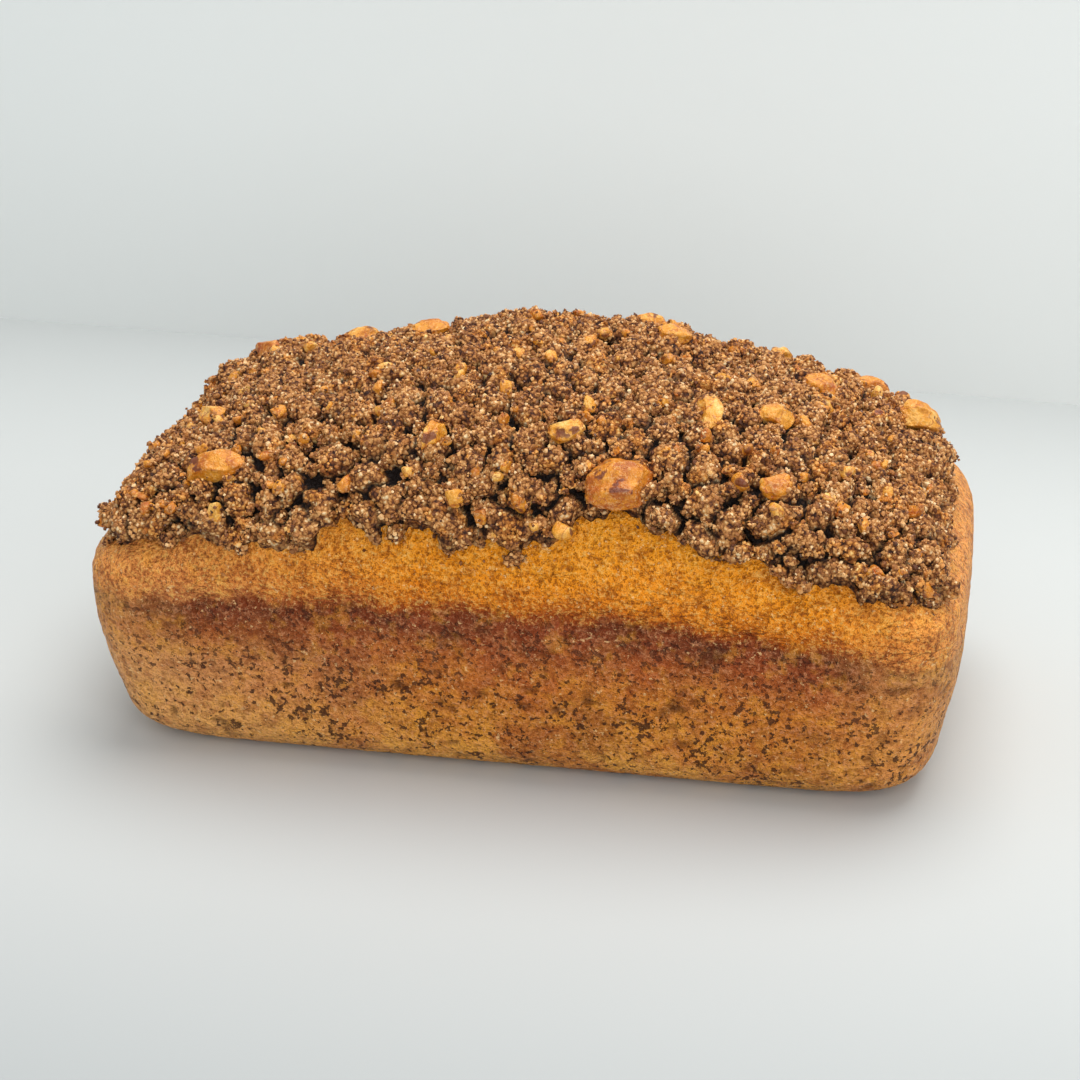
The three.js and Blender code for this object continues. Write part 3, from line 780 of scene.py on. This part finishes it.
def valley_grid():
    """Smooth sheet at the bottom of the topping's gaps."""
    u, v = np.meshgrid(np.linspace(-1, 1, COLUMNS), np.linspace(-1, 1, ROWS))
    x, y = clump_place(u, v)
    z = dome_height(x, y) + topping_depth(x, y, EDGE_DEPTH, VALLEY_DEPTH)
    return np.stack([x, y, z], -1)


def choose_clumps(sheet, normals, rng):
    """Clump centres on the sheet, the largest first, each clear of the others by a share of both radii."""
    area = np.linalg.norm(np.cross(np.gradient(sheet, axis=1), np.gradient(sheet, axis=0)), axis=-1).ravel()
    picks = rng.choice(area.size, CLUMP_TRIES, p=area / area.sum())
    radii = CLUMP_RADIUS_MIN + (CLUMP_RADIUS_MAX - CLUMP_RADIUS_MIN) * np.linspace(1, 0, picks.size) ** 2.6
    spots = sheet.reshape(-1, 3)[picks] + rng.uniform(-0.3, 0.3, (picks.size, 3))
    kept = []
    for n, spot in enumerate(spots):
        near = np.linalg.norm(spots[kept] - spot, axis=1) if kept else np.array([1e9])
        if np.all(near > 0.74 * (radii[kept] + radii[n])):
            kept.append(n)
    return spots[kept], normals.reshape(-1, 3)[picks[kept]], radii[kept]


def cap_heights(points, centres, radii):
    """For every point the tallest ball cap over it, sqrt(r^2 - d^2), in blocks of points."""
    heights = np.zeros(len(points))
    for start in range(0, len(points), 4000):
        block = points[start:start + 4000]
        squares = ((block[:, None, :] - centres[None]) ** 2).sum(-1)
        caps = np.sqrt(np.maximum(radii**2 - squares, 0))
        heights[start:start + 4000] = caps.max(1)
    return heights


def box_mean(grid, reach):
    """Mean over a square of cells round each cell of a grid, from its running sums."""
    padded = np.pad(grid, reach + 1, mode="edge")
    sums = padded.cumsum(0).cumsum(1)
    wide = 2 * reach + 1
    total = sums[wide:, wide:] - sums[:-wide, wide:] - sums[wide:, :-wide] + sums[:-wide, :-wide]
    return total[:grid.shape[0], :grid.shape[1]] / wide**2


def build_topping_base(material, sheet, normals, centres, radii):
    """The heap's own body: the sheet raised under every clump by its ball cap, bent by noise and roughened
    at the size of grains. It is lit by how far each point stands over the mean height round it."""
    flat = sheet.reshape(-1, 3)
    bend = [2.0 * noise(flat, 3.8, s) + 0.7 * noise(flat, 1.7, s + 9) for s in (31, 32, 33)]
    caps = cap_heights(flat + np.stack(bend, -1), centres, radii)
    rough = 0.9 * noise(flat, 5.5, 43) + 0.6 * noise(flat, 2.4, 44)
    grain = 0.3 * noise(flat, 1.25, 41) + 0.15 * noise(flat, 0.8, 42)
    u = np.abs(np.linspace(-1, 1, COLUMNS))[None, :]
    v = np.abs(np.linspace(-1, 1, ROWS))[:, None]
    at_rim = np.clip((1 - np.maximum(u, v)) * 40, 0, 1).ravel()
    height = (1.0 * caps + rough + grain - 0.5) * (0.35 + 0.65 * at_rim)
    body = flat + normals.reshape(-1, 3) * height[:, None]
    index = np.arange(ROWS * COLUMNS).reshape(ROWS, COLUMNS)
    rim = np.concatenate([index[0, :-1], index[:-1, -1], index[-1, :0:-1], index[:0:-1, 0]])
    lower = body[rim] * (0.97, 0.95, 1) - (0, 0, 5)
    ring = np.arange(len(rim))
    low, next_low, top_next = len(body) + ring, len(body) + (ring + 1) % len(rim), np.roll(rim, -1)
    centre = np.full(len(rim), len(body) + len(rim))
    faces = np.concatenate([
        grid_faces(ROWS, COLUMNS),
        np.stack([low, next_low, top_next], -1),
        np.stack([low, top_next, rim], -1),
        np.stack([centre, next_low, low], -1),
    ])
    relief = height.reshape(ROWS, COLUMNS)
    over_mean = (relief - box_mean(relief, 7)).ravel()
    over_near = (relief - box_mean(relief, 2)).ravel()
    lit = np.clip(0.66 + over_mean / 2.1 + over_near / 1.8, 0, 1)
    # Painted shade: the topping is a little darker towards its left end
    lit = np.maximum(lit, 0.7 * (1 - at_rim)) - 0.06 * np.clip((-flat[:, 0] - 40) / 40, 0, 1)
    # The skirt under the edge and its middle point get lit 0, so they take the painted gap shade
    extra = np.zeros(len(rim) + 1)
    tone = 0.5 + 0.16 * noise(flat, 1.2, 51) + 0.12 * noise(flat, 9, 52)
    points = np.concatenate([body, lower, [(0, 0, RIM_HEIGHT)]])
    marks = {"lit": np.concatenate([lit, extra]), "tone": np.concatenate([tone, extra])}
    piece = make_piece("topping_body", points, faces, material, marks)
    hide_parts("crumb_topping")
    return body, lit


def build_clumps(material, centres, normals, radii, rng):
    """Clumps that overhang: balls lifted off the sheet and dented by noise of two sizes. Gives back their
    points, the way each point faces, and how lit it is."""
    small = np.flatnonzero(radii < 3.4)
    chosen = small[rng.permutation(len(small))[:LOOSE_CLUMPS]]
    radius = radii[chosen] * rng.uniform(0.7, 1.0, len(chosen))
    middle = centres[chosen] + normals[chosen] * (radius * rng.uniform(0.3, 0.9, len(chosen)))[:, None]
    scales = radius[:, None] * rng.uniform(0.6, 1.2, (len(chosen), 3))
    points, faces = scatter(geodesic_ball(2), middle, scales, random_turns(len(chosen), rng), 0.08, rng)
    dents = 1 + 0.42 * noise(points, 1.7, 61) + 0.2 * noise(points, 0.95, 62)
    points = middle[:, None, :] + (points - middle[:, None, :]) * dents[..., None]
    rise = ((points - centres[chosen][:, None, :]) * normals[chosen][:, None, :]).sum(-1)
    lit = np.clip(0.3 + rise / 2.6, 0, 1)
    tone = 0.5 + 0.16 * noise(points, 1.2, 63) + 0.1 * rng.uniform(-1, 1, (len(chosen), 1))
    flat = points.reshape(-1, 3)
    make_piece("topping_clumps", flat, faces, material, {"lit": lit, "tone": tone})
    outward = (points - middle[:, None, :]).reshape(-1, 3)
    return flat, outward / np.linalg.norm(outward, axis=1, keepdims=True), lit.ravel()


# Kinds of grain: name, finish, shape, count, smallest and largest size, and the two weights of their tones
GRAINS = [
    ("grains_dark", "sugar_grain", geodesic_ball(0), 9500, (0.4, 0.62), (2.6, 2.8)),
    ("grains_light", "sugar_grain", geodesic_ball(0), 9500, (0.36, 0.56), (3.0, 2.2)),
    ("grains_brown", "sugar_grain", octahedron(), 21000, (0.34, 0.58), (2.4, 2.6)),
    ("grains_sugar", "bright_sugar", octahedron(), 21000, (0.32, 0.54), (2.7, 2.5)),
]


def build_grains(name, material, shape, count, sizes, tones, spots, outward, lit, rng):
    """Single grains on the heap's skin: each sits on a random point, partly sunk and turned at random."""
    picks = rng.choice(len(spots), count, replace=count > len(spots))
    size = rng.uniform(*sizes, count) * rng.choice([0.8, 1.0, 1.2], count)
    centres = spots[picks] + outward[picks] * (0.25 * size)[:, None] + rng.uniform(-0.15, 0.15, (count, 3))
    scales = size[:, None] * rng.uniform(0.75, 1.2, (count, 3))
    points, faces = scatter(shape, centres, scales, random_turns(count, rng), 0.3, rng)
    corners = len(shape[0])
    tone = np.repeat(rng.beta(*tones, count), corners)
    light = np.repeat(np.clip(lit[picks] * 1.1 + 0.05, 0, 1), corners)
    marks = {"lit": light, "tone": tone}
    make_piece(name, points.reshape(-1, 3), faces, material, marks, smooth=False)


# Pecans

def dome_normal(x, y):
    """Outward unit normal of the dome, from its slopes over half a millimetre."""
    slope_x = dome_height(x + 0.5, y) - dome_height(x - 0.5, y)
    slope_y = dome_height(x, y + 0.5) - dome_height(x, y - 0.5)
    normal = np.array([-slope_x, -slope_y, 1.0])
    return normal / np.linalg.norm(normal)


def pecan_surface(size, seed):
    """Chopped nut on longitude and latitude: a ball with ridges 1 + 0.05 cos(7 longitude) and a groove
    along its back, cut flat by random planes, dented by noise and stretched to its size."""
    around = np.linspace(0, 2 * np.pi, 60, endpoint=False)
    longitude, latitude = np.meshgrid(around, np.linspace(0, np.pi, 42))
    unit = np.stack(
        [np.cos(latitude), np.sin(latitude) * np.cos(longitude), np.sin(latitude) * np.sin(longitude)], -1
    )
    points = 1.18 * unit * (1 + 0.05 * np.cos(7 * longitude) * np.sin(latitude))[..., None]
    points[..., 2] -= np.where(unit[..., 2] > 0, 0.2 * np.exp(-((unit[..., 1] / 0.2) ** 2)), 0)
    skin = np.clip(unit[..., 2] * 1.6, 0, 1)
    for cut in random_turns(5, np.random.default_rng(seed))[:, 0]:
        over = np.maximum(points @ cut - 0.8, 0)[..., None]
        points = points - over * cut
        skin = np.where(over[..., 0] > 0.02, 0, skin)
    dents = 0.09 * noise(points + seed, 0.6, seed) + 0.05 * noise(points + seed, 0.25, seed + 1)
    return points * (1 + dents)[..., None] * np.array(size) / 2, skin


def build_pecan(n, pecan, material):
    """One pecan piece of the part, lying along the slope, in place of its node."""
    x, y, size, turn, out = pecan
    grid, skin = pecan_surface(size, 70 + 3 * n)
    normal = Vector(dome_normal(x, y))
    lean = Vector((0, 0, 1)).rotation_difference(normal).to_matrix()
    tilt = lean @ Matrix.Rotation(np.radians(turn), 3, "Z")
    depth = topping_depth(x, y, SOLID_EDGE_DEPTH, SOLID_DEPTH)
    middle = np.array([x, y, dome_height(x, y) + depth]) + out * np.array(normal)
    points = grid.reshape(-1, 3) @ np.array(tilt).T + middle
    rows, columns = grid.shape[:2]
    faces = grid_faces(rows, columns, closed_rows=True)[:, [0, 2, 1]]
    tone = np.full(len(points), (n * 0.37) % 1)
    marks = {"skin": skin, "tone": tone}
    piece = make_piece(f"pecan_piece_{n + 1:02d}", points, faces, material, marks)
    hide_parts(f"pecan_{n + 1:02d}")


def build_nut_bits(material, sheet, normals, rng):
    """Smaller bits: balls cut flat by two random planes, at the named spots and scattered over the topping.
    Gives back some of their points and the way they face, for sugar to sit on."""
    flat, up = sheet.reshape(-1, 3), normals.reshape(-1, 3)
    picks = rng.choice(len(flat), LOOSE_BITS)
    near = [np.argmin(np.hypot(flat[:, 0] - x, flat[:, 1] - y)) for x, y, _ in NUT_SPOTS]
    where = np.concatenate([near, picks])
    size = np.concatenate([NUT_SPOTS[:, 2], rng.uniform(1.8, 5.2, len(picks))])
    lift = np.concatenate([np.full(len(near), 3.0), rng.uniform(1.8, 3.8, len(picks))])
    centres = flat[where] + up[where] * lift[:, None]
    scales = size[:, None] / 2 * rng.uniform((0.9, 0.6, 0.45), (1.1, 0.9, 0.7), (len(where), 3))
    points, faces = scatter(geodesic_ball(2), centres, scales, random_turns(len(where), rng), 0.02, rng)
    local = points - centres[:, None, :]
    cuts = random_turns(len(where), rng)[:, :2, :]
    for k in range(2):
        reach = (local * cuts[:, k][:, None, :]).sum(-1)
        over = np.maximum(reach - 0.5 * scales.mean(1)[:, None], 0)
        local = local - over[..., None] * cuts[:, k][:, None, :]
    local *= 1 + 0.16 * noise(points, 1.4, 81)[..., None]
    skin = np.clip((local * cuts[:, 0][:, None, :]).sum(-1) * -1.2, 0, 1)
    tone = np.repeat(rng.uniform(0, 1, len(where)), points.shape[1])
    bit_points = (local + centres[:, None, :]).reshape(-1, 3)
    make_piece("pecan_bits", bit_points, faces, material, {"skin": skin, "tone": tone})
    outward = local.reshape(-1, 3)
    return bit_points[::4], (outward / np.linalg.norm(outward, axis=1, keepdims=True))[::4]


def loose_crumbs(rng):
    """Spots for single grains fallen on the bare crust just below the topping's edge."""
    x = rng.uniform(-HALF_LENGTH, HALF_LENGTH, FALLEN_TRIES)
    y = rng.uniform(-HALF_WIDTH, HALF_WIDTH, FALLEN_TRIES)
    below = topping_edge(x, y) - run_share(x, y)
    keep = (below > -0.02) & (below < 0.05) & (rng.uniform(size=x.size) < np.exp(-below / 0.025))
    x, y = x[keep], y[keep]
    return np.stack([x, y, dome_height(x, y)], -1)


# Stage, camera and light

CAMERA_AZIMUTH = 11.573
CAMERA_ELEVATION = 24.113
CAMERA_DISTANCE = 601.9
CAMERA_TARGET = (-1.074, 0.0, 44.065)
CAMERA_ROLL = -0.707
FOCAL_PIXELS = 2327.7
IMAGE_PIXELS = 1080
STAGE_REACH = 2500
BACKDROP_MIDDLE = np.array([-64.0, 254.9, 0])
BACKDROP_TURN = -3.79
BACKDROP_HEIGHT = 260


def place_camera():
    """Camera on a sphere round its target, rolled, with the focal length that the picture's width gives."""
    azimuth, elevation, roll = np.radians([CAMERA_AZIMUTH, CAMERA_ELEVATION, CAMERA_ROLL])
    level = np.cos(elevation)
    back = np.array([np.sin(azimuth) * level, -np.cos(azimuth) * level, np.sin(elevation)])
    right = np.cross(-back, (0, 0, 1))
    right /= np.linalg.norm(right)
    up = np.cross(right, -back)
    rolled_right = right * np.cos(roll) + up * np.sin(roll)
    rolled_up = up * np.cos(roll) - right * np.sin(roll)
    camera = bpy.data.objects.new("camera", bpy.data.cameras.new("camera"))
    place = Matrix([[*row, 0] for row in np.stack([rolled_right, rolled_up, back], 1)] + [[0, 0, 0, 1]])
    place.translation = Vector((np.array(CAMERA_TARGET) + back * CAMERA_DISTANCE) * MM)
    camera.matrix_world = place
    camera.data.sensor_width = 36
    camera.data.lens = FOCAL_PIXELS * 36 / IMAGE_PIXELS
    camera.data.clip_start = 0.01
    bpy.context.scene.collection.objects.link(camera)
    bpy.context.scene.camera = camera


def add_area_light(name, place, target, size, power, colour):
    light = bpy.data.lights.new(name, "AREA")
    light.shape = "DISK"
    light.size = size
    light.energy = power
    light.color = colour
    lamp = bpy.data.objects.new(name, light)
    lamp.location = place
    lamp.rotation_euler = (Vector(target) - Vector(place)).to_track_quat("-Z", "Y").to_euler()
    bpy.context.scene.collection.objects.link(lamp)


def stage_sheet(name, corners, material):
    """Flat sheet through four corners in mm, which isn't part of the cake."""
    mesh = bpy.data.meshes.new(name)
    mesh.from_pydata((np.array(corners) * MM).tolist(), [], [(0, 1, 2, 3)])
    mesh.materials.append(material)
    sheet = bpy.data.objects.new(name, mesh)
    bpy.context.scene.collection.objects.link(sheet)


def build_stage():
    """Pale table with painted shade darkening it towards the front, and a low pale backdrop with painted
    shade low down that lightens upwards. From behind, the backdrop is clear, so that the cake shows from
    every side."""
    table, tree, shader, coordinates = new_material("pale_table", 0.8, 0.2)
    place = tree.nodes.new("ShaderNodeSeparateXYZ")
    tree.links.new(coordinates, place.inputs[0])
    # Painted shade: the table darkens towards the front
    nearness = map_range(tree, place.outputs["Y"], -0.05, -0.3)
    shade = mix(tree, nearness, (0.585, 0.605, 0.6, 1), (0.352, 0.38, 0.388, 1))
    tree.links.new(shade, shader.inputs["Base Color"])
    r = STAGE_REACH
    stage_sheet("table", [(-r, -r, 0), (r, -r, 0), (r, r, 0), (-r, r, 0)], table)

    wall, tree, shader, coordinates = new_material("pale_backdrop", 0.8, 0.2)
    place = tree.nodes.new("ShaderNodeSeparateXYZ")
    tree.links.new(coordinates, place.inputs[0])
    # Painted shade: the backdrop is darker low down by the table and lightens upwards
    rise = map_range(tree, place.outputs["Z"], 0.0, 0.13)
    shade = mix(tree, rise, (0.76, 0.785, 0.775, 1), (0.84, 0.87, 0.86, 1))
    tree.links.new(shade, shader.inputs["Base Color"])
    seen = tree.nodes.new("ShaderNodeMixShader")
    tree.links.new(tree.nodes.new("ShaderNodeNewGeometry").outputs["Backfacing"], seen.inputs[0])
    tree.links.new(shader.outputs[0], seen.inputs[1])
    tree.links.new(tree.nodes.new("ShaderNodeBsdfTransparent").outputs[0], seen.inputs[2])
    tree.links.new(seen.outputs[0], tree.nodes["Material Output"].inputs["Surface"])
    turn = np.radians(BACKDROP_TURN)
    along = STAGE_REACH * np.array([np.cos(turn), np.sin(turn), 0])
    up = np.array([0, 0, BACKDROP_HEIGHT])
    left, right = BACKDROP_MIDDLE - along, BACKDROP_MIDDLE + along
    corners = [left, right, right + up, left + up]
    stage_sheet("backdrop", corners, wall)


def light_scene():
    """Pale sky all round, a broad soft light from above and a weaker one from the front."""
    world = bpy.data.worlds.new("daylight")
    world.use_nodes = True
    background = world.node_tree.nodes["Background"]
    background.inputs["Color"].default_value = (0.93, 0.97, 1.0, 1)
    background.inputs["Strength"].default_value = 0.56
    bpy.context.scene.world = world
    add_area_light("window", (0.16, 0.16, 1.0), (0, 0, 0.05), 0.9, 8.6, (1.0, 0.98, 0.95))
    add_area_light("fill", (0.3, -0.9, 0.5), (0, 0, 0.05), 0.9, 5.0, (1.0, 0.99, 0.97))
    bpy.context.scene.view_settings.view_transform = "Standard"


def main():
    rng = np.random.default_rng(SEED)
    crumb = crumb_material()
    finishes = {
        "sugar_grain": grain_material("sugar_grain", 0.6),
        "bright_sugar": grain_material("bright_sugar", 0.35),
    }
    nut = nut_material()
    build_loaf(crust_material())
    sheet = valley_grid()
    normals = surface_normals(sheet)
    centres, clump_normals, radii = choose_clumps(sheet, normals, rng)
    body, body_lit = build_topping_base(crumb, sheet, normals, centres, radii)
    clumps, clumps_out, clumps_lit = build_clumps(crumb, centres, clump_normals, radii, rng)
    bits, bits_out = build_nut_bits(nut, sheet, normals, rng)
    fallen = loose_crumbs(rng)
    upwards = np.tile((0.0, 0.0, 1.0), (len(fallen), 1))
    spots = np.concatenate([body, clumps, bits, fallen])
    outward = np.concatenate([normals.reshape(-1, 3), clumps_out, bits_out, upwards])
    lit = np.concatenate([body_lit, clumps_lit, np.ones(len(bits) + len(fallen))])
    on_top = np.flatnonzero(lit > 0.25)
    spots, outward, lit = spots[on_top], outward[on_top], lit[on_top]
    for name, finish, shape, count, sizes, tones in GRAINS:
        build_grains(name, finishes[finish], shape, count, sizes, tones, spots, outward, lit, rng)
    for n, pecan in enumerate(PECANS):
        build_pecan(n, pecan, nut)
    build_stage()
    place_camera()
    light_scene()


main()
